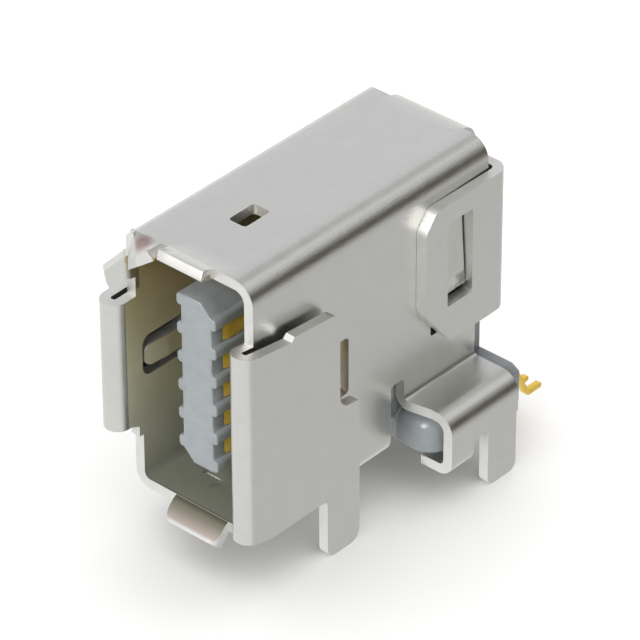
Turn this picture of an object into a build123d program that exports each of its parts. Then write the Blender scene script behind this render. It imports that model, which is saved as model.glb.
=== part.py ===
from build123d import *
import os
from math import cos, radians, sin, tan

# A small right-angle board jack: a folded sheet shell round a moulded grey
# housing, whose tongue carries five sprung contacts on each side.
# Millimetres. z = 0 is the board's face, x = 0 the middle of the jack, and
# the mouth looks towards -y with its rim at y = 0.

# Sheet that the shell is folded from
sheet = 0.33

# Square tube of the shell, outside sizes
tube_half_width = 2.33
tube_bottom = 0.45
tube_top = 9.30
side_rear = 10.10
corner_top_left = 0.30
corner_top_right = 0.68
corner_bottom = 0.55

# Folded seam along the tube's floor, closed by one dovetail
seam_x = -0.70
seam_gap = 0.05
dovetail_front = 0.34
dovetail_rear = 1.32
dovetail_neck = 0.34
dovetail_flare = 0.16

# Window in the roof, for the mating plug's latch
latch_window_x = -0.21
latch_window_width = 0.64
latch_window_front = 2.13
latch_window_length = 1.07

# Lips of the mouth
top_lip_left = -0.83
top_lip_right = 0.86
top_lip_reach = 0.47
top_lip_angle = 18
top_lip_relief = 0.28
top_lip_relief_depth = 0.22
bottom_lip_left = -0.75
bottom_lip_right = 1.27
bottom_lip_angle = 46
bottom_lip_height = 0.0
bottom_lip_corner = 0.30

# The mouth's left upper part, which stands a little further forward: a
# guide lip flared out from the wall and a corner pressed in as a key
left_forward = 0.16
guide_bottom = 7.80
guide_overlap = 0.5
guide_top = 8.68
guide_bend = -0.36
guide_angle = 40
guide_radius = 0.25
guide_length = 0.70
key_reach = 0.55
key_right_gap = 0.02
key_side_press = 0.44
key_top_press = 0.61
key_left_depth = 0.36
key_rim = 0.25
key_foot_drop = 0.60

# Side lips, folded back outside the walls into plates with a front leg
fold_gap = 0.19
fold_centre = -0.44
leg_tip = -1.20
front_leg_front = 2.50
front_leg_rear = 3.89
plate_bottom = 0.90
plate_ledge = 3.80
plate_upper_rear = 3.05
plate_top = 7.17
right_lip_bottom = 1.10
right_lip_top = 7.50
left_lip_bottom = 2.80
left_lip_top = 7.17
plate_step_y = 1.02
plate_step = 0.13

# Spring fingers cut in the side walls
finger_z = 4.96
finger_width = 0.72
finger_slot = 0.33
finger_tip = 0.10
finger_tip_gap = 0.06
finger_root = 3.30
finger_push = 0.10
finger_bow_radius = 1.2
finger_tip_radius = 0.6

# Window in the right wall behind the front plate
wall_window_front = 3.45
wall_window_rear = 4.00
wall_window_bottom = 3.68
wall_window_top = 5.62

# Cut-away at the rear of the floor, through which the housing spreads out
floor_rear = 5.86
cutaway_top = 2.87
rear_step_y = 9.62
rear_step_z = 3.30

# Arches over the housing's shoulders, with the rear legs
arch_front = 6.60
arch_root_front = 6.44
arch_rear = 9.60
arch_top = 2.10
arch_half_width = 4.05
arch_root_radius = 0.32
arch_corner_radius = 0.47
arch_skirt = 0.85
foot_rear = 7.60
foot_reach = 1.20
foot_radius = 0.50
rear_leg_front = 8.25
rear_leg_rear = 9.53
leg_corner = 0.32

# Rear flap, folded down from the roof, and its ears round the walls
neck_left = -1.38
neck_right = 1.36
neck_relief = 0.12
neck_relief_depth = 0.18
flap_rear = 10.66
flap_bend = 0.60
ear_drop = 0.97
ear_gap = 0.05
ear_bend = 0.50
ear_front = 6.93
ear_bottom = 3.55
ear_upper_corner = 0.57
ear_front_bottom = 4.90
ear_top_front = 7.40
ear_bottom_front = 8.05
ear_window_front = 7.90
ear_window_rear = 9.00
ear_window_bottom = 4.79
ear_window_drop = 0.65

# Lances of the walls, which catch in the ears' windows
lance_hole_front = 7.60
lance_hole_bottom = 3.74
lance_bottom = 5.00
lance_drop = 0.38
lance_side_gap = 0.05
lance_push = 0.14

# Moulded housing
fit_gap = 0.04
body_front = 6.12
block_bottom = 0.52
block_top = 1.66
block_half_width = 3.45
block_rear = 10.36
flange_front = 9.70
flange_top = 1.76
flange_edge = 0.28
flange_edge_drop = 0.17
shoulder_front = 6.32
shoulder_reach = 0.10
shoulder_set_back = 0.15
shoulder_round = 0.80
shoulder_top_edge = 0.50
shoulder_low_edge = 0.12

# Tongue with its ribs
tongue_front = 0.15
tongue_middle = 4.925
tongue_height = 5.71
tongue_core = 1.16
tongue_width = 1.50
tongue_chamfer = 0.40
rib_count = 6
rib_height = 0.40
rib_round = 0.12
stagger = 0.18

# Contacts
contact_pitch = 0.98
contact_count = 5
contact_width = 0.52
contact_thickness = 0.20
contact_set_back = 0.40
contact_slope = 0.28
contact_slope_depth = 0.10
contact_face = 0.65
drop_rear = 9.00
drop_thickness = 0.15
drop_first = 0.82
drop_width = 0.15
drop_wall_gap = 0.105
fan_rear = 10.00
tail_height = 1.08
tail_first = 0.95
tail_pitch = 0.50
tail_width = 0.22
tail_straight = 0.78
tail_slope = 0.52
tail_foot = 0.62
tail_radius = 0.16

inner_half_width = tube_half_width - sheet
roof_inside = tube_top - sheet
floor_inside = tube_bottom + sheet
plate_outside = tube_half_width + fold_gap + sheet
ear_top = tube_top - ear_drop
ear_front_top = ear_top - ear_upper_corner
ear_window_top = ear_top - ear_window_drop
lance_top = ear_window_top - lance_drop
drop_last = inner_half_width - drop_wall_gap - drop_width / 2
drop_pitch = (drop_last - drop_first) / (contact_count - 1)
key_end = top_lip_left - top_lip_relief
key_foot = tube_top - key_foot_drop
key_right_x = key_end - key_right_gap
key_left_x = -tube_half_width + key_side_press
key_left_z = tube_top - key_top_press
tail_bend = fan_rear + tail_straight
tail_heel = tail_bend + tail_slope
tail_tip = tail_heel + tail_foot

# How far the cutting shapes run past what they cut
past = 1
far = 40


def along_x(face, start, end):
    """A prism of a face drawn in y and z."""
    return extrude(Plane.YZ.offset(start) * face, end - start)


def along_y(face, start, end):
    """A prism of a face drawn in x and z."""
    return extrude(Plane.XZ.offset(-end) * face, end - start)


def along_z(face, start, end):
    """A prism of a face drawn in x and y."""
    return extrude(Plane.XY.offset(start) * face, end - start)


def block(x0, x1, y0, y1, z0, z1):
    """A plain box between two corners."""
    middle = ((x0 + x1) / 2, (y0 + y1) / 2, (z0 + z1) / 2)
    return Pos(*middle) * Box(x1 - x0, y1 - y0, z1 - z0)


def outline(*corners):
    """A closed face; each corner is (u, v) or (u, v, radius)."""
    points = [corner[:2] for corner in corners]
    radii = [corner[2] if len(corner) > 2 else 0 for corner in corners]
    return make_face(FilletPolyline(*points, radius=radii, close=True))


def bent_strip(points, radii, thickness):
    """The section of a bent sheet along the middle of its thickness."""
    return trace(FilletPolyline(*points, radius=radii), thickness)


def mirrored(solid):
    """The same form on the other side of the jack's middle plane."""
    return mirror(solid, Plane.YZ)


def tube_section(inset):
    """Section of the square tube, moved in by inset from its outside."""
    low = tube_bottom + inset
    high = tube_top - inset
    side = tube_half_width - inset

    def rounding(radius):
        return max(radius - inset, 0.05)

    return outline(
        (-side, low, rounding(corner_bottom)),
        (side, low, rounding(corner_bottom)),
        (side, high, rounding(corner_top_right)),
        (-side, high, rounding(corner_top_left)),
    )


def tube():
    """The four walls, with the floor cut away at the rear."""
    walls = along_y(tube_section(0) - tube_section(sheet), -left_forward, side_rear)
    walls -= block(-inner_half_width, far, -past, 0, -far, far)
    walls -= block(-tube_half_width + key_rim, far, -past, 0, key_foot, far)
    walls -= block(-far, far, -past, 0, -far, left_lip_bottom - guide_overlap)
    side = tube_half_width + past
    cut = outline(
        (floor_rear, tube_bottom - past),
        (floor_rear, cutaway_top, 0.15),
        (arch_root_front, cutaway_top, 0.15),
        (arch_root_front, cutaway_top - 0.3),
        (rear_step_y, cutaway_top - 0.3),
        (rear_step_y, rear_step_z, 0.2),
        (side_rear + past, rear_step_z),
        (side_rear + past, tube_bottom - past),
    )
    return walls - along_x(cut, -side, side)


def seam():
    """The slit where the sheet's two edges meet, round the dovetail."""
    neck = seam_x + dovetail_neck
    path = Polyline(
        (seam_x, -1),
        (seam_x, dovetail_front),
        (neck, dovetail_front),
        (neck + dovetail_flare, dovetail_rear),
        (seam_x - dovetail_flare, dovetail_rear),
        (seam_x - dovetail_flare, floor_rear + 1),
    )
    return along_z(trace(path, seam_gap), tube_bottom - 1, floor_inside + 1)


def latch_window(low, high):
    """A rectangular hole through the roof."""
    x0 = latch_window_x - latch_window_width / 2
    y1 = latch_window_front + latch_window_length
    face = outline(
        (x0, latch_window_front, 0.12),
        (x0 + latch_window_width, latch_window_front, 0.12),
        (x0 + latch_window_width, y1, 0.12),
        (x0, y1, 0.12),
    )
    return along_z(face, low, high)


def top_lip():
    """Short lip that flares up from the roof."""
    middle = tube_top - sheet / 2
    rise = top_lip_reach * tan(radians(top_lip_angle))
    path = [(1, middle), (0, middle), (-top_lip_reach, middle + rise)]
    return along_x(bent_strip(path, [0.4], sheet), top_lip_left, top_lip_right)


def top_lip_reliefs():
    """Notches beside the lip."""
    high = tube_top + 1
    low = roof_inside - 0.1
    depth = top_lip_relief_depth
    left = block(top_lip_left - top_lip_relief, top_lip_left, -1, depth, low, high)
    right = block(top_lip_right, top_lip_right + top_lip_relief, -1, depth, low, high)
    return left + right


def bottom_lip():
    """Lip that flares down and forward until it meets the board."""
    middle = tube_bottom + sheet / 2
    lean = radians(bottom_lip_angle)
    end_z = bottom_lip_height + sheet / 2 * cos(lean)
    end_y = -(middle - end_z) / tan(lean)
    path = [(1, middle), (0, middle), (end_y, end_z)]
    lip = along_x(bent_strip(path, [0.25], sheet), bottom_lip_left, bottom_lip_right)
    front = end_y - sheet / 2 * sin(lean)
    plan = outline(
        (bottom_lip_left, front, bottom_lip_corner),
        (bottom_lip_right, front, bottom_lip_corner),
        (bottom_lip_right, 2),
        (bottom_lip_left, 2),
    )
    return lip & along_z(plan, -far, far)


def guide_lip():
    """The left wall's upper lip, flared out to lead the plug in."""
    middle = -tube_half_width + sheet / 2
    lean = radians(guide_angle)
    along = (-sin(lean), -cos(lean))
    path = [
        (middle, 0.02),
        (middle, guide_bend),
        (middle + 2 * guide_length * along[0], guide_bend + 2 * guide_length * along[1]),
    ]
    strip = along_z(bent_strip(path, [guide_radius], sheet), guide_bottom - 1, tube_top)
    corner = (-inner_half_width, guide_bend - sheet / 2 * tan(lean / 2), 0)
    flared = Plane(origin=corner, x_dir=(*along, 0), z_dir=(along[1], -along[0], 0))
    shape = outline(
        (-1, guide_bottom),
        (-0.33, guide_bottom, 0.1),
        (0.03, guide_bottom + 0.10, 0.1),
        (0.50, guide_bottom - 0.29, 0.05),
        (guide_length - 0.06, guide_bottom + 0.04),
        (guide_length, guide_bottom + 0.43, 0.05),
        (0.10, guide_top, 0.15),
        (-1, guide_top),
    )
    return strip & extrude(flared * shape, 1, both=True)


def key_corner():
    """The left upper corner, pressed in until it keys the plug."""
    rear_left = -tube_half_width
    rear_right = key_end
    rear = [
        (rear_right, tube_top),
        (rear_left + 0.1, tube_top),
        (rear_left, tube_top - 0.1),
        (rear_left, key_foot),
        (rear_left + sheet, key_foot),
        (rear_left + sheet, roof_inside),
        (rear_right, roof_inside),
    ]
    slope = sheet * sin(radians(45))
    middle_x = (key_left_x + key_right_x) / 2
    middle_z = (key_left_z + tube_top) / 2
    front = [
        (key_right_x, tube_top),
        (middle_x, middle_z),
        (middle_x - 0.03, middle_z - 0.025),
        (key_left_x, key_left_z),
        (key_left_x, key_left_z - key_left_depth),
        (middle_x + slope / 2, middle_z - slope * 1.3),
        (key_right_x + slope, tube_top - slope),
    ]
    faces = []
    for y, corners in ((0.02, rear), (-key_reach, front)):
        faces.append(Plane.XZ.offset(-y) * make_face(Polyline(*corners, close=True)))
    return loft(faces, ruled=True)


def fold_back(lip_bottom, lip_top, forward, foot):
    """The right wall's front lip, folded back into a plate with a leg."""
    wall_middle = tube_half_width - sheet / 2
    plate_middle = plate_outside - sheet / 2
    centre = (wall_middle + plate_middle) / 2
    bend = (plate_middle - wall_middle) / 2
    turn = fold_centre - forward
    path = (
        Line((wall_middle, 0.02), (wall_middle, turn))
        + CenterArc((centre, turn), bend, 180, 180)
        + Line((plate_middle, turn), (plate_middle, front_leg_rear + 1))
    )
    front = turn - bend - sheet
    shape = outline(
        (front, lip_bottom),
        *foot(front, lip_bottom),
        (front_leg_front, plate_bottom, 0.18),
        (front_leg_front, leg_tip, 0.35),
        (front_leg_rear, leg_tip, 0.45),
        (front_leg_rear, plate_ledge - 0.05, 0.12),
        (plate_upper_rear, plate_ledge + 0.05, 0.45),
        (plate_upper_rear, plate_top, 0.4),
        (plate_step_y + plate_step, plate_top + 0.16),
        (plate_step_y, plate_top + 0.16 - plate_step),
        (front, lip_top),
    )
    return along_z(trace(path, sheet), leg_tip - 1, tube_top) & along_x(shape, 0, far)


def right_foot(front, lip_bottom):
    """Lower outline of the right fold, which slants down to the plate."""
    return [(front + 0.45, lip_bottom - 0.05, 0.3), (0.20, plate_bottom, 0.5)]


def left_foot(front, lip_bottom):
    """Lower outline of the left fold, which stays high past the mouth."""
    return [
        (-0.50, lip_bottom, 0.1),
        (0.00, lip_bottom - 0.22),
        (0.60, lip_bottom - 0.60, 0.3),
        (0.95, plate_bottom, 0.3),
    ]


def finger_slots():
    """The cut round the spring finger of the right wall."""
    half = finger_width / 2
    outer = half + finger_slot
    around = outline(
        (finger_tip - finger_tip_gap, finger_z - outer, finger_slot),
        (finger_root, finger_z - outer, finger_slot / 2),
        (finger_root, finger_z + outer, finger_slot / 2),
        (finger_tip - finger_tip_gap, finger_z + outer, finger_slot),
    )
    return along_x(around, inner_half_width - 0.1, tube_half_width + 0.02)


def finger():
    """The spring finger, bowed into the mouth."""
    middle = tube_half_width - sheet / 2
    path = FilletPolyline(
        (middle, finger_root + 0.3),
        (middle, finger_root - 0.2),
        (middle - finger_push, finger_tip + 0.9),
        (middle - 0.02, finger_tip),
        radius=[finger_bow_radius, finger_tip_radius],
    )
    half = finger_width / 2
    sides = outline(
        (finger_tip, finger_z - half, 0.30),
        (finger_root + 1, finger_z - half),
        (finger_root + 1, finger_z + half),
        (finger_tip, finger_z + half, 0.30),
    )
    strip = along_z(trace(path, sheet), finger_z - half, finger_z + half)
    return strip & along_x(sides, 0, far)


def wall_window():
    """The upright window in the right wall."""
    face = outline(
        (wall_window_front, wall_window_bottom, 0.16),
        (wall_window_rear, wall_window_bottom, 0.16),
        (wall_window_rear, wall_window_top, 0.16),
        (wall_window_front, wall_window_top, 0.16),
    )
    return along_x(face, inner_half_width - 0.1, tube_half_width + 0.02)


def lance_hole():
    """The opening that the lance is raised from."""
    rear = ear_window_rear + lance_side_gap
    face = outline(
        (lance_hole_front, lance_hole_bottom, 0.1),
        (rear, lance_hole_bottom, 0.1),
        (rear, lance_top),
        (lance_hole_front, lance_top),
    )
    return along_x(face, inner_half_width - 0.1, tube_half_width + 0.02)


def lance():
    """The raised tongue that stops the ear from sliding off."""
    middle = tube_half_width - sheet / 2
    path = [
        (middle, lance_top + 0.4),
        (middle, lance_top - 0.2),
        (middle + lance_push, lance_bottom),
    ]
    front = ear_window_front + lance_side_gap
    rear = ear_window_rear - lance_side_gap
    return along_y(bent_strip(path, [0.8], sheet), front, rear)


def arch():
    """The right wall's arch over the housing, down to the rear leg."""
    wall_middle = tube_half_width - sheet / 2
    skirt_middle = arch_half_width - sheet / 2
    roof_middle = arch_top - sheet / 2
    path = [
        (wall_middle, rear_step_z),
        (wall_middle, roof_middle),
        (skirt_middle, roof_middle),
        (skirt_middle, arch_skirt),
    ]
    radii = [arch_root_radius, arch_corner_radius]
    roof = along_y(bent_strip(path, radii, sheet), arch_root_front, arch_rear)
    plan = outline(
        (0, arch_root_front),
        (tube_half_width, arch_root_front),
        (tube_half_width + 0.9, arch_front),
        (arch_half_width + 1, arch_front),
        (arch_half_width + 1, arch_rear),
        (0, arch_rear),
    )
    roof &= along_z(plan, -far, far)
    foot_path = [
        (skirt_middle, arch_skirt + 0.1),
        (skirt_middle, sheet / 2),
        (arch_half_width - foot_reach, sheet / 2),
    ]
    foot = along_y(bent_strip(foot_path, [foot_radius - sheet / 2], sheet), arch_front, foot_rear)
    leg_face = outline(
        (rear_leg_front, leg_tip, leg_corner),
        (rear_leg_rear, leg_tip, leg_corner),
        (rear_leg_rear, arch_skirt + 0.3),
        (rear_leg_front, arch_skirt + 0.3),
    )
    leg = along_x(leg_face, arch_half_width - sheet, arch_half_width)
    return roof + foot + leg


def neck():
    """The part of the rear flap that bends down from the roof."""
    roof_middle = tube_top - sheet / 2
    flap_middle = flap_rear - sheet / 2
    path = [
        (side_rear - neck_relief_depth, roof_middle),
        (flap_middle, roof_middle),
        (flap_middle, ear_window_top),
    ]
    strip = bent_strip(path, [flap_bend - sheet / 2], sheet)
    return along_x(strip, neck_left, neck_right)


def neck_reliefs():
    """Notches that free the neck from the roof's rear corners."""
    front = side_rear - neck_relief_depth
    low = roof_inside - 0.1
    high = tube_top + 1
    rear = side_rear + 1
    left = block(neck_left - neck_relief, neck_left, front, rear, low, high)
    right = block(neck_right, neck_right + neck_relief, front, rear, low, high)
    return left + right


def flap_and_ears():
    """The rear flap below the neck, wrapped round both walls."""
    side = tube_half_width + ear_gap + sheet / 2
    rear = flap_rear - sheet / 2
    path = [(side, ear_front), (side, rear), (-side, rear), (-side, ear_front)]
    bend = ear_bend - sheet / 2
    band = along_z(bent_strip(path, [bend, bend], sheet), ear_bottom - 1, ear_top + 1)
    shape = outline(
        (ear_front, ear_front_top, 0.45),
        (ear_top_front, ear_top, 0.25),
        (flap_rear + 1, ear_top),
        (flap_rear + 1, ear_bottom),
        (ear_bottom_front, ear_bottom, 0.4),
        (ear_front, ear_front_bottom, 0.9),
    )
    window = outline(
        (ear_window_front, ear_window_bottom, 0.08),
        (ear_window_rear, ear_window_bottom, 0.08),
        (ear_window_rear, ear_window_top, 0.08),
        (ear_window_front, ear_window_top, 0.08),
    )
    return band & along_x(shape - window, -far, far)


def make_shell():
    """The whole shell, one folded sheet."""
    right_cuts = finger_slots() + lance_hole()
    shell = tube() - seam() - latch_window(roof_inside - 1, far)
    shell -= top_lip_reliefs() + neck_reliefs()
    shell -= right_cuts + mirrored(right_cuts) + wall_window()
    right = finger() + lance() + arch()
    shell += right + mirrored(right)
    shell += fold_back(right_lip_bottom, right_lip_top, 0, right_foot)
    shell += mirrored(fold_back(left_lip_bottom, left_lip_top, left_forward, left_foot))
    for lip in (top_lip(), bottom_lip(), guide_lip(), key_corner()):
        shell += lip
    shell += neck() + flap_and_ears()
    return shell


def rib_heights(shift):
    """Heights of the ribs' middles on one side of the tongue."""
    first = tongue_middle + shift - contact_pitch * (rib_count - 1) / 2
    return [first + contact_pitch * number for number in range(rib_count)]


def contact_heights(shift):
    """Heights of the contacts, halfway between the ribs."""
    first = tongue_middle + shift - contact_pitch * (contact_count - 1) / 2
    return [first + contact_pitch * number for number in range(contact_count)]


def tongue():
    """The tongue's core, keyed by two bevels, with a comb of ribs."""
    half = tongue_core / 2
    low = tongue_middle - tongue_height / 2
    high = low + tongue_height
    core = outline(
        (-half, low + tongue_chamfer),
        (-half + tongue_chamfer, low),
        (half, low),
        (half, high - tongue_chamfer),
        (half - tongue_chamfer, high),
        (-half, high),
    )
    shape = along_y(core, tongue_front, body_front + 0.1)
    for side, shift in ((1, -stagger), (-1, stagger)):
        for height in rib_heights(shift):
            low_edge = height - rib_height / 2
            high_edge = height + rib_height / 2
            rib = outline(
                (0, low_edge),
                (side * tongue_width / 2, low_edge, rib_round),
                (side * tongue_width / 2, high_edge, rib_round),
                (0, high_edge),
            )
            shape += along_y(rib, tongue_front, body_front + 0.1)
    return shape


def body():
    """The block that fills the tube behind the mouth."""
    section = tube_section(sheet + fit_gap)
    rear = flap_rear - sheet - fit_gap
    low = block_top - 0.2
    high = roof_inside - fit_gap
    profile = outline(
        (body_front, low),
        (rear, low),
        (rear, high, flap_bend - sheet - fit_gap),
        (body_front, high),
    )
    return along_y(section, body_front, rear) & along_x(profile, -far, far)


def lower_of(solid):
    """The lowest of the shoulder's front edges."""
    edges = solid.edges().filter_by_position(Axis.Y, shoulder_front - 1, block_rear - 0.5)
    return edges.group_by(Axis.Z)[0]


def shoulders():
    """The wide foot, rounded where it spreads under the arches."""
    side = block_half_width + shoulder_reach
    plan = outline(
        (-side, shoulder_front, shoulder_round),
        (-tongue_width, shoulder_front + shoulder_set_back),
        (tongue_width, shoulder_front + shoulder_set_back),
        (side, shoulder_front, shoulder_round),
        (side, block_rear - 0.4),
        (-side, block_rear - 0.4),
    )
    wide = along_z(plan, block_bottom, block_top)
    front_edges = wide.edges().filter_by_position(Axis.Y, shoulder_front - 1, block_rear - 0.5)
    upper = front_edges.group_by(Axis.Z)[-1]
    wide = fillet(upper, shoulder_top_edge)
    wide = fillet(lower_of(wide), shoulder_low_edge)
    flange_face = outline(
        (-block_half_width, block_bottom),
        (block_half_width, block_bottom),
        (block_half_width, flange_top - flange_edge_drop),
        (block_half_width - flange_edge, flange_top),
        (-block_half_width + flange_edge, flange_top),
        (-block_half_width, flange_top - flange_edge_drop),
    )
    return wide + along_y(flange_face, flange_front, block_rear)


def make_contact(side, height, order):
    """One contact: beam, drop, fan and gull-wing tail."""
    face = contact_face
    beam_front = tongue_front + contact_set_back
    beam_plan = outline(
        (face - contact_thickness, beam_front),
        (face - contact_slope_depth, beam_front),
        (face, beam_front + contact_slope, 0.1),
        (face, drop_rear),
        (face - contact_thickness, drop_rear),
    )
    beam = along_z(beam_plan, height - contact_width / 2, height + contact_width / 2)
    drop_x = drop_first + drop_pitch * order
    tail_x = tail_first + tail_pitch * order
    half_drop = drop_width / 2
    front = drop_rear - drop_thickness
    low = tail_height - drop_thickness / 2
    arm = block(
        face - contact_thickness,
        drop_x + half_drop,
        front,
        drop_rear,
        height - contact_width / 2,
        height + contact_width / 2,
    )
    drop = block(drop_x - half_drop, drop_x + half_drop, front, drop_rear, low, height)
    fan = outline(
        (drop_x - half_drop, front),
        (drop_x + half_drop, front),
        (drop_x + half_drop, drop_rear + 0.1),
        (tail_x + tail_width / 2, fan_rear - 0.1),
        (tail_x + tail_width / 2, fan_rear),
        (tail_x - tail_width / 2, fan_rear),
        (tail_x - tail_width / 2, fan_rear - 0.1),
        (drop_x - half_drop, drop_rear + 0.1),
    )
    spread = along_z(fan, low, low + drop_thickness)
    path = [
        (fan_rear - 0.05, tail_height),
        (tail_bend, tail_height),
        (tail_heel, drop_thickness / 2),
        (tail_tip, drop_thickness / 2),
    ]
    wing = bent_strip(path, [tail_radius, tail_radius], drop_thickness)
    tail = along_x(wing, tail_x - tail_width / 2, tail_x + tail_width / 2)
    contact = beam + arm + drop + spread + tail
    return contact if side > 0 else mirrored(contact)


contacts = {}
for side, name, shift in ((1, "right", -stagger), (-1, "left", stagger)):
    for order, height in enumerate(contact_heights(shift)):
        contacts[f"contact_{name}_{order + 1}"] = make_contact(side, height, order)

shell = make_shell()
housing = tongue() + body() + shoulders()
for contact in contacts.values():
    housing -= contact

os.makedirs("parts", exist_ok=True)
export_step(shell, "parts/shell.step")
export_step(housing, "parts/housing.step")
for name, contact in contacts.items():
    export_step(contact, f"parts/{name}.step")
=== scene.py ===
import math

import bmesh
import bpy
from mathutils import Matrix, Vector
from mathutils.bvhtree import BVHTree


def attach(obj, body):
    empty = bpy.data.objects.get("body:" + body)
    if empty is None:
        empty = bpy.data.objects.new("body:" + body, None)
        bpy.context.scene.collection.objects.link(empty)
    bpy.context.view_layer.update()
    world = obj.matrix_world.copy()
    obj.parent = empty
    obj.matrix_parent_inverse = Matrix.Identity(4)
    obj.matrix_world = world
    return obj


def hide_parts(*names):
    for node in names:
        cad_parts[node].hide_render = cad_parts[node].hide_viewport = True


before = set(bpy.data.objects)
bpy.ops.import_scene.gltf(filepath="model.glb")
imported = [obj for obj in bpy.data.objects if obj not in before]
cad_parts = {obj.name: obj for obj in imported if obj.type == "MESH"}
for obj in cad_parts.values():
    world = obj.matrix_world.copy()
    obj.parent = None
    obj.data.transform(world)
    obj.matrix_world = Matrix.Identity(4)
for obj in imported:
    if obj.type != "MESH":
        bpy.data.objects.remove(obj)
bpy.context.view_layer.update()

MM = 0.001

# Camera, fitted to the photograph
AZIMUTH = math.radians(41.727)
ELEVATION = math.radians(34.6045)
ROLL = math.radians(-0.2024)
LOOK_AT = Vector((0.190, 5.178, 4.609)) * MM
DISTANCE = 141.258 * MM
LENS = 274.9

# Lights, with places and widths in metres and powers in watts
KEY_PLACE = (0.03, -0.46, 0.30)
KEY_AIM = (0, 0.005, 0.004)
KEY_WIDTH = 0.20
KEY_POWER = 2.9
OVERHEAD_PLACE = (0, 0, 0.8)
OVERHEAD_WIDTH = 1.0
OVERHEAD_POWER = 1.3
WASH_PLACE = (0, 0, 0.6)
WASH_WIDTH = 1.6
WASH_POWER = 6.5
BACKGROUND = (0.97, 0.97, 0.97)

FLOOR = -1.2 * MM
FLOOR_HALF_WIDTH = 1.0
SHEET = 0.33 * MM

# The tube's inside in x, y and z, and the notches at the roof's two ends
ROOF = 9.30 * MM
INSIDE = ((-2.05 * MM, 2.05 * MM), (-0.6 * MM, 9.9 * MM), (0.6 * MM, ROOF - SHEET / 2))
NOTCHES = [
    ((-1.13 * MM, -0.81 * MM), (0, 0.24 * MM)),
    ((0.84 * MM, 1.16 * MM), (0, 0.24 * MM)),
    ((-1.52 * MM, -1.36 * MM), (9.90 * MM, 10.10 * MM)),
    ((1.34 * MM, 1.50 * MM), (9.90 * MM, 10.10 * MM)),
]

# The bottom lip, and the roof's corner that was pressed in beside the top lip, near which a pinkish
# reflection is painted
LIP = ((-0.9 * MM, 1.4 * MM), (-2 * MM, 0), (-0.1 * MM, 1 * MM))
PRESSED_CORNER = (-1.58 * MM, -0.25 * MM, 9.22 * MM)

# The rear ears, which lie on the walls
WALL_OUTSIDE = 2.336 * MM
EAR_INSIDE = 2.38 * MM
EAR_FRONT = 6.9 * MM
EAR_REAR = 10.14 * MM
EAR_TOLERANCE = 0.004 * MM

# How far the sharp edges are broken, and the share of a face that this may take up
SHELL_EDGE = 0.03 * MM
HOUSING_EDGE = 0.05 * MM
CONTACT_EDGE = 0.015 * MM
SHARE_FOR_EDGE = 0.4

# Angles from which an edge is broken, from which it shades as sharp, and up to which
# two faces are made one
CREASE = math.radians(33)
SMOOTH = math.radians(24)
FLAT = math.radians(0.5)

# Corners closer than this are made one
WELD = 0.003 * MM

# The grid that cuts long faces
CELL = 0.6 * MM
CELL_SHIFT = (0.37, 0, 0.37)
CELL_TOLERANCE = 0.0005 * MM

# Rays from the shell's faces: where they start, and how far they go each way
RAY_START = 0.002 * MM
RAY_BEHIND = 40 * MM
RAY_AHEAD = 9 * MM

# Metal deeper than this behind a face shows that the face is sheared
SHEARED_DEPTH = 1.35 * SHEET

# Places in the shell's list of materials, where the outer plating comes first
INNER = 1
SHEARED = 2


def add_camera():
    back = Vector((math.sin(AZIMUTH) * math.cos(ELEVATION),
                   -math.cos(AZIMUTH) * math.cos(ELEVATION),
                   math.sin(ELEVATION)))
    level = Vector((math.cos(AZIMUTH), math.sin(AZIMUTH), 0))
    raised = back.cross(level)
    right = level * math.cos(ROLL) + raised * math.sin(ROLL)
    up = back.cross(right)
    data = bpy.data.cameras.new("camera")
    data.lens = LENS
    data.sensor_width = 36
    data.clip_start = 1 * MM
    data.clip_end = 10
    camera = bpy.data.objects.new("camera", data)
    turn = Matrix((right, up, back)).transposed().to_4x4()
    camera.matrix_world = Matrix.Translation(LOOK_AT + back * DISTANCE) @ turn
    bpy.context.scene.collection.objects.link(camera)
    bpy.context.scene.camera = camera


def add_area(name, place, aim, width, power):
    data = bpy.data.lights.new(name, "AREA")
    data.shape = "SQUARE"
    data.size = width
    data.energy = power
    lamp = bpy.data.objects.new(name, data)
    lamp.location = place
    lamp.rotation_euler = (Vector(aim) - Vector(place)).to_track_quat("-Z", "Y").to_euler()
    bpy.context.scene.collection.objects.link(lamp)
    return lamp


def light_only(lamp, things):
    """Lets a light reach these objects alone."""
    reached = bpy.data.collections.new("lit_by_" + lamp.name)
    for thing in things:
        reached.objects.link(thing)
    lamp.light_linking.receiver_collection = reached


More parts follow.
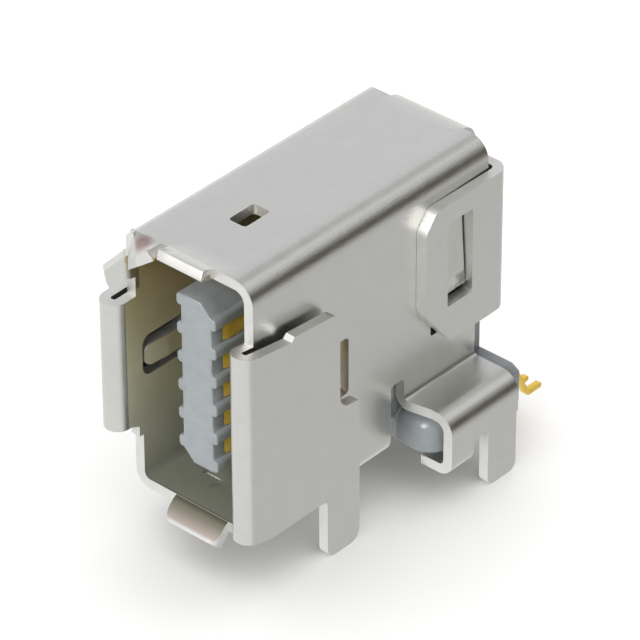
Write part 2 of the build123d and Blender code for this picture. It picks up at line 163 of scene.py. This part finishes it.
class Nodes:
    """A short way to add shader nodes and link them."""

    def __init__(self, tree):
        self.tree = tree

    def add(self, kind, settings=None, **inputs):
        node = self.tree.nodes.new(kind)
        for name, value in (settings or {}).items():
            setattr(node, name, value)
        for name, value in inputs.items():
            self.put(node, name.replace("_", " "), value)
        return node

    def put(self, node, socket_name, value):
        socket = node.inputs[socket_name]
        if isinstance(value, bpy.types.NodeSocket):
            self.tree.links.new(value, socket)
        else:
            socket.default_value = value

    def calculate(self, kind, operation, values):
        node = self.add(kind, {"operation": operation})
        for number, value in enumerate(values):
            self.put(node, number, value)
        return node.outputs["Value"]

    def math(self, operation, *numbers):
        return self.calculate("ShaderNodeMath", operation, numbers)

    def measure(self, operation, *vectors):
        return self.calculate("ShaderNodeVectorMath", operation, vectors)

    def between(self, value, low, high, kind="LINEAR"):
        """How far a value has come from low to high, from 0 to 1."""
        return self.add("ShaderNodeMapRange", {"interpolation_type": kind},
                        Value=value, From_Min=low, From_Max=high).outputs[0]

    def ramp(self, factor, stops):
        node = self.add("ShaderNodeValToRGB", Fac=factor)
        elements = node.color_ramp.elements
        while len(elements) > 1:
            elements.remove(elements[-1])
        elements[0].position = stops[0][0]
        elements[0].color = (*stops[0][1], 1)
        for place, colour in stops[1:]:
            elements.new(place).color = (*colour, 1)
        return node.outputs["Color"]

    def mix(self, factor, one, two, blend="MIX"):
        """Mixes two colours, whose sockets are number 6 and number 7."""
        node = self.add("ShaderNodeMix", {"data_type": "RGBA", "blend_type": blend})
        self.put(node, 0, factor)
        for number, value in ((6, one), (7, two)):
            linked = isinstance(value, bpy.types.NodeSocket)
            self.put(node, number, value if linked else (*value, 1))
        return node.outputs[2]

    def place(self, kind="Object"):
        return self.add("ShaderNodeTexCoord").outputs[kind]

    def split(self, vector):
        node = self.add("ShaderNodeSeparateXYZ", Vector=vector)
        return (node.outputs[name] for name in "XYZ")

    def noise(self, scale, detail, rough=0.6):
        return self.add("ShaderNodeTexNoise", Vector=self.place(), Scale=scale,
                        Detail=detail, Roughness=rough).outputs["Fac"]

    def mottled(self, noise, low, high):
        """Two colours that follow a noise."""
        return self.ramp(noise, [(0.3, low), (0.7, high)])

    def bump(self, height, strength, distance):
        return self.add("ShaderNodeBump", Height=height, Strength=strength,
                        Distance=distance).outputs[0]


def grey(value, warmth=0.0):
    return (value * (1 + warmth), value, value * (1 - 2 * warmth))


def add_world():
    """Studio surroundings: a dark band on the right, above the horizon."""
    world = bpy.data.worlds.new("studio")
    bpy.context.scene.world = world
    world.use_nodes = True
    world.node_tree.nodes.clear()
    nodes = Nodes(world.node_tree)
    place = nodes.place("Generated")
    _, y, z = nodes.split(place)
    level = nodes.math("MULTIPLY_ADD", z, 0.5, 0.5)
    right = nodes.ramp(level, [
        (0.00, grey(0.70)),
        (0.22, grey(0.67)),
        (0.33, grey(0.58)),
        (0.40, grey(0.40, 0.02)),
        (0.46, grey(0.17, 0.10)),
        (0.52, grey(0.08, 0.14)),
        (0.62, grey(0.07, 0.08)),
        (0.67, grey(0.16, 0.03)),
        (0.72, grey(0.38)),
        (0.78, grey(0.54)),
        (0.84, grey(0.86)),
        (1.00, grey(0.95)),
    ])
    left = nodes.ramp(level, [
        (0.00, grey(0.85)),
        (0.22, grey(0.95)),
        (0.45, grey(0.95)),
        (0.60, grey(1.05)),
        (0.76, grey(0.88, -0.02)),
        (0.80, grey(0.80, -0.02)),
        (0.84, grey(0.50)),
        (0.91, grey(0.46)),
        (1.00, grey(0.95)),
    ])
    front = nodes.ramp(level, [
        (0.00, grey(0.85)),
        (0.22, grey(0.92)),
        (0.45, grey(0.95)),
        (0.60, grey(0.90)),
        (0.70, grey(0.48, 0.03)),
        (0.88, grey(0.48, 0.03)),
        (1.00, grey(0.95)),
    ])
    rightward = nodes.measure("DOT_PRODUCT", place, (0.8, 0.6, 0))
    to_right = nodes.between(rightward, 0.25, 0.60, "SMOOTHSTEP")
    to_front = nodes.between(y, -0.05, -0.40, "SMOOTHSTEP")
    sky = nodes.mix(to_front, nodes.mix(to_right, left, right), front)
    seen = nodes.add("ShaderNodeLightPath").outputs["Is Camera Ray"]
    shown = nodes.mix(seen, sky, BACKGROUND)
    glow = nodes.add("ShaderNodeBackground", Color=shown, Strength=1.0)
    nodes.add("ShaderNodeOutputWorld", Surface=glow.outputs[0])


def new_material(name):
    material = bpy.data.materials.new(name)
    material.use_nodes = True
    material.node_tree.nodes.clear()
    nodes = Nodes(material.node_tree)
    shader = nodes.add("ShaderNodeBsdfPrincipled")
    nodes.add("ShaderNodeOutputMaterial", Surface=shader.outputs[0])
    return material, nodes, shader


def painted_pink_reflection(nodes, colour):
    """The colour, with a pinkish reflection painted in near the roof's pressed-in corner."""
    distance = nodes.measure("DISTANCE", nodes.place(), PRESSED_CORNER)
    near = nodes.between(distance, 0.42 * MM, 0.10 * MM, "SMOOTHSTEP")
    return nodes.mix(near, colour, (0.46, 0.35, 0.33))


def stretch(nodes):
    """How much the sheet is stretched: 1 on the bends along the roof, 0 elsewhere."""
    x, _, z = nodes.split(nodes.place())
    sides = nodes.between(nodes.math("ABSOLUTE", x), 1.30 * MM, 1.75 * MM, "SMOOTHSTEP")
    top = nodes.between(z, 7.9 * MM, 8.5 * MM, "SMOOTHSTEP")
    return nodes.math("MULTIPLY", sides, top)


def plate_material(name, low, high, rough, grain_scale, grain_strength):
    """Bare plating, whose grain is twice as strong on the bends along the roof."""
    material, nodes, shader = new_material(name)
    mottle = nodes.noise(1900, 5.0)
    # A pinkish reflection is painted into the base colour near the roof's pressed-in corner
    nodes.put(shader, "Base Color", painted_pink_reflection(nodes, nodes.mottled(mottle, low, high)))
    shader.inputs["Metallic"].default_value = 1.0
    varied = nodes.mottled(mottle, grey(rough - 0.03), grey(rough + 0.03))
    nodes.put(shader, "Roughness", varied)
    grain = nodes.noise(grain_scale, 1.0, 0.5)
    strength = nodes.add("ShaderNodeMapRange", Value=stretch(nodes),
                         To_Min=grain_strength, To_Max=2 * grain_strength)
    nodes.put(shader, "Normal", nodes.bump(grain, strength.outputs[0], 0.01 * MM))
    return material


def inside_material():
    """The plating inside the tube, with painted shade: darker near the floor, olive and darker
    towards the roof, and on the bottom lip dark near the mouth, pinkish further out, with a painted
    highlight along its front edge.
    """
    material, nodes, shader = new_material("tin_plate_inside")
    _, y, z = nodes.split(nodes.place())
    # Painted shade by height: darker near the floor, lightest midway, olive and darker towards the
    # roof
    tube = nodes.ramp(nodes.between(z, 0, ROOF), [
        (0.08, (0.42, 0.43, 0.36)),
        (0.25, (0.66, 0.67, 0.54)),
        (0.50, (0.80, 0.79, 0.60)),
        (0.85, (0.58, 0.51, 0.28)),
    ])
    # Painted shade on the bottom lip, dark near the mouth and pinkish further out, and a painted
    # highlight along its front edge
    lip = nodes.ramp(nodes.between(y, 0, -1 * MM), [
        (0.05, (0.13, 0.13, 0.09)),
        (0.25, (0.20, 0.19, 0.15)),
        (0.50, (0.40, 0.345, 0.315)),
        (0.56, (0.62, 0.62, 0.60)),
    ])
    before_mouth = nodes.between(y, 0.08 * MM, -0.04 * MM)
    near_board = nodes.between(z, 1.2 * MM, 1 * MM)
    painted_shade_and_highlight = nodes.mix(nodes.math("MULTIPLY", before_mouth, near_board), tube, lip)
    shade = nodes.mottled(nodes.noise(900, 4.0), grey(0.90), grey(1.0))
    nodes.put(shader, "Base Color", nodes.mix(1.0, painted_shade_and_highlight, shade, "MULTIPLY"))
    shader.inputs["Metallic"].default_value = 0.7
    shader.inputs["Roughness"].default_value = 0.45
    return material


def plastic_material():
    material, nodes, shader = new_material("moulded_plastic")
    cloud = nodes.noise(3000, 6.0, 0.65)
    colour = nodes.mottled(cloud, (0.205, 0.225, 0.235), (0.245, 0.265, 0.275))
    nodes.put(shader, "Base Color", colour)
    shader.inputs["Roughness"].default_value = 0.33
    shader.inputs["Specular IOR Level"].default_value = 0.65
    grain = nodes.noise(24000, 4.0)
    nodes.put(shader, "Normal", nodes.bump(grain, 0.25, 0.006 * MM))
    return material


def gold_material():
    material, nodes, shader = new_material("gold_plate")
    cloud = nodes.noise(4000, 4.0)
    colour = nodes.mottled(cloud, (0.93, 0.62, 0.08), (1.00, 0.72, 0.14))
    nodes.put(shader, "Base Color", colour)
    shader.inputs["Metallic"].default_value = 0.7
    nodes.put(shader, "Roughness", nodes.mottled(cloud, grey(0.30), grey(0.40)))
    return material


def floor_material():
    material, nodes, shader = new_material("pale_floor")
    cloud = nodes.noise(100, 3.0)
    nodes.put(shader, "Base Color", nodes.mottled(cloud, grey(0.86), grey(0.88)))
    shader.inputs["Roughness"].default_value = 0.8
    shader.inputs["Specular IOR Level"].default_value = 0.2
    return material


def add_floor():
    mesh = bpy.data.meshes.new("floor")
    half = FLOOR_HALF_WIDTH
    work = bmesh.new()
    corners = [work.verts.new((x, y, FLOOR)) for x, y in
               ((-half, -half), (half, -half), (half, half), (-half, half))]
    work.faces.new(corners)
    work.to_mesh(mesh)
    work.free()
    mesh.materials.append(floor_material())
    floor = bpy.data.objects.new("floor", mesh)
    bpy.context.scene.collection.objects.link(floor)
    floor.visible_glossy = False
    return floor


def reach_inside(loop):
    """How far a face goes on behind one of its edges, straight in from three places."""
    start = loop.vert.co
    along = loop.link_loop_next.vert.co - start
    inward = loop.face.normal.cross(along).normalized()
    side = along.normalized()
    least = math.inf
    for share in (0.12, 0.5, 0.88):
        place = start + along * share
        for other in loop.face.loops:
            if other == loop:
                continue
            a = other.vert.co - place
            b = other.link_loop_next.vert.co - place
            one, two = a.dot(side), b.dot(side)
            if (one > 0) == (two > 0):
                continue
            part = one / (one - two)
            depth = a.dot(inward) * (1 - part) + b.dot(inward) * part
            if 1e-9 < depth < least:
                least = depth
    return least


def at_open_ends(work, layer):
    """The marked edges that no other marked edge carries on at one of their ends."""
    return [edge for edge in work.edges if edge[layer] > 0
            and any(sum(e[layer] > 0 for e in v.link_edges) < 2 for v in edge.verts)]


def mark_edges(work, width):
    """Marks the outer sharp edges that have room to be rounded, in closed rings.

    A rounding that ends in the middle of an edge would shade badly there.
    """
    layer = work.edges.layers.float.new("bevel_weight_edge")
    for edge in work.edges:
        if len(edge.link_faces) != 2 or not edge.is_convex or edge.calc_face_angle() < CREASE:
            continue
        if SHARE_FOR_EDGE * min(reach_inside(loop) for loop in edge.link_loops) >= width:
            edge[layer] = 1.0
    loose = at_open_ends(work, layer)
    while loose:
        for edge in loose:
            edge[layer] = 0.0
        loose = at_open_ends(work, layer)
    for edge in work.edges:
        if edge[layer] == 0 and len(edge.link_faces) == 2 and edge.calc_face_angle() > SMOOTH:
            edge.smooth = False


def within(place, box):
    return all(low < part < high for part, (low, high) in zip(place, box))


def sort_faces(mesh):
    """Gives the shell's faces inside the tube, and its sheared faces, their own material."""
    mesh.calc_loop_triangles()
    middles = {}
    for triangle in mesh.loop_triangles:
        best = middles.get(triangle.polygon_index)
        if best is None or triangle.area > best[0]:
            corners = [mesh.vertices[v].co for v in triangle.vertices]
            middles[triangle.polygon_index] = (triangle.area, sum(corners, Vector()) / 3)
    tree = BVHTree.FromPolygons([v.co for v in mesh.vertices], [p.vertices for p in mesh.polygons])
    for number, face in enumerate(mesh.polygons):
        place = middles[number][1]
        step = face.normal * RAY_START
        behind = tree.ray_cast(place - step, -face.normal, RAY_BEHIND)[3] or 0
        faced = tree.ray_cast(place + step, face.normal, RAY_AHEAD)[3]
        if within(place, LIP) and face.normal.z > 0.6:
            face.material_index = INNER
        elif behind > SHEARED_DEPTH:
            face.material_index = SHEARED
        elif faced and within(place, INSIDE):
            face.material_index = INNER


def press_ears(work):
    """Lays the ears on the walls, which they touch on the real part."""
    for vert in work.verts:
        x, y, _ = vert.co
        if abs(abs(x) - EAR_INSIDE) < EAR_TOLERANCE and EAR_FRONT < y < EAR_REAR:
            vert.co.x = math.copysign(WALL_OUTSIDE, x)


def fill_notches(mesh):
    """Closes the notches at the roof's ends, where the sheet only stretched."""
    piece = bpy.data.objects.new("unfilled", mesh)
    bpy.context.scene.collection.objects.link(piece)
    fillers = []
    for (x0, x1), (y0, y1) in NOTCHES:
        work = bmesh.new()
        size = Vector((x1 - x0, y1 - y0, SHEET))
        middle = Vector(((x0 + x1) / 2, (y0 + y1) / 2, ROOF - SHEET / 2))
        bmesh.ops.create_cube(work, matrix=Matrix.Translation(middle) @ Matrix.Diagonal((*size, 1)))
        block = bpy.data.meshes.new("filler")
        work.to_mesh(block)
        work.free()
        filler = bpy.data.objects.new("filler", block)
        bpy.context.scene.collection.objects.link(filler)
        fillers.append(filler)
        joined = piece.modifiers.new("joined", "BOOLEAN")
        joined.operation = "UNION"
        joined.solver = "EXACT"
        joined.object = filler
    graph = bpy.context.evaluated_depsgraph_get()
    whole = bpy.data.meshes.new_from_object(piece.evaluated_get(graph))
    for thing in (piece, *fillers):
        bpy.data.objects.remove(thing)
    return whole


def cut_in_cells(mesh):
    """Cuts long faces along a grid, so that shading stays even over them."""
    work = bmesh.new()
    work.from_mesh(mesh)
    for axis in range(3):
        spread = [v.co[axis] for v in work.verts]
        for step in range(math.ceil(min(spread) / CELL), math.ceil(max(spread) / CELL)):
            place = Vector((0, 0, 0))
            normal = Vector((0, 0, 0))
            place[axis] = (step + CELL_SHIFT[axis]) * CELL
            normal[axis] = 1
            bmesh.ops.bisect_plane(work, geom=work.verts[:] + work.edges[:] + work.faces[:],
                                   dist=CELL_TOLERANCE, plane_co=place, plane_no=normal)
    work.to_mesh(mesh)
    work.free()


def welded(mesh):
    work = bmesh.new()
    work.from_mesh(mesh)
    bmesh.ops.remove_doubles(work, verts=work.verts, dist=WELD)
    return work


def dressed(node, materials, width):
    """A copy of a CAD node with its sharp edges broken, as on the real part."""
    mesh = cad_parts[node].data.copy()
    mesh.name = node + "_dressed"
    if "custom_normal" in mesh.attributes:
        mesh.attributes.remove(mesh.attributes["custom_normal"])
    work = welded(mesh)
    if node == "shell":
        work.to_mesh(mesh)
        work.free()
        mesh = fill_notches(mesh)
        work = welded(mesh)
        press_ears(work)
    bmesh.ops.dissolve_degenerate(work, edges=work.edges, dist=WELD)
    bmesh.ops.dissolve_limit(work, angle_limit=FLAT, verts=work.verts, edges=work.edges)
    for face in work.faces:
        face.smooth = True
    mark_edges(work, width)
    work.to_mesh(mesh)
    work.free()
    mesh.materials.clear()
    for material in materials:
        mesh.materials.append(material)
    piece = bpy.data.objects.new(node + "_dressed", mesh)
    bpy.context.scene.collection.objects.link(piece)
    rounded = piece.modifiers.new("rounded", "BEVEL")
    rounded.limit_method = "WEIGHT"
    rounded.width = width
    rounded.segments = 2
    rounded.use_clamp_overlap = False
    rounded.loop_slide = False
    graph = bpy.context.evaluated_depsgraph_get()
    final = bpy.data.meshes.new_from_object(piece.evaluated_get(graph))
    piece.modifiers.clear()
    piece.data = final
    cut_in_cells(final)
    if node == "shell":
        sort_faces(final)
    weigh = piece.modifiers.new("weighted", "WEIGHTED_NORMAL")
    weigh.mode = "FACE_AREA"
    weigh.weight = 50
    weigh.keep_sharp = True
    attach(piece, "root")
    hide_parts(node)
    return piece


bpy.context.scene.view_settings.view_transform = "Standard"
add_camera()
add_world()
key = add_area("key", KEY_PLACE, KEY_AIM, KEY_WIDTH, KEY_POWER)
overhead = add_area("overhead", OVERHEAD_PLACE, (0, 0, 0), OVERHEAD_WIDTH, OVERHEAD_POWER)
overhead.visible_glossy = False
wash = add_area("floor_wash", WASH_PLACE, (0, 0, 0), WASH_WIDTH, WASH_POWER)
light_only(wash, [add_floor()])

outer = plate_material("tin_plate", (0.66, 0.658, 0.63), (0.70, 0.698, 0.67), 0.30, 15000, 0.3)
inner = inside_material()
sheared = plate_material("sheared_plate", (0.74, 0.735, 0.71), (0.80, 0.795, 0.77), 0.47, 9000, 0.10)
plastic = plastic_material()
gold = gold_material()
pieces = [
    dressed("shell", [outer, inner, sheared], SHELL_EDGE),
    dressed("housing", [plastic], HOUSING_EDGE),
]
for side in ("left", "right"):
    for order in range(1, 6):
        pieces.append(dressed(f"contact_{side}_{order}", [gold], CONTACT_EDGE))
light_only(key, pieces)
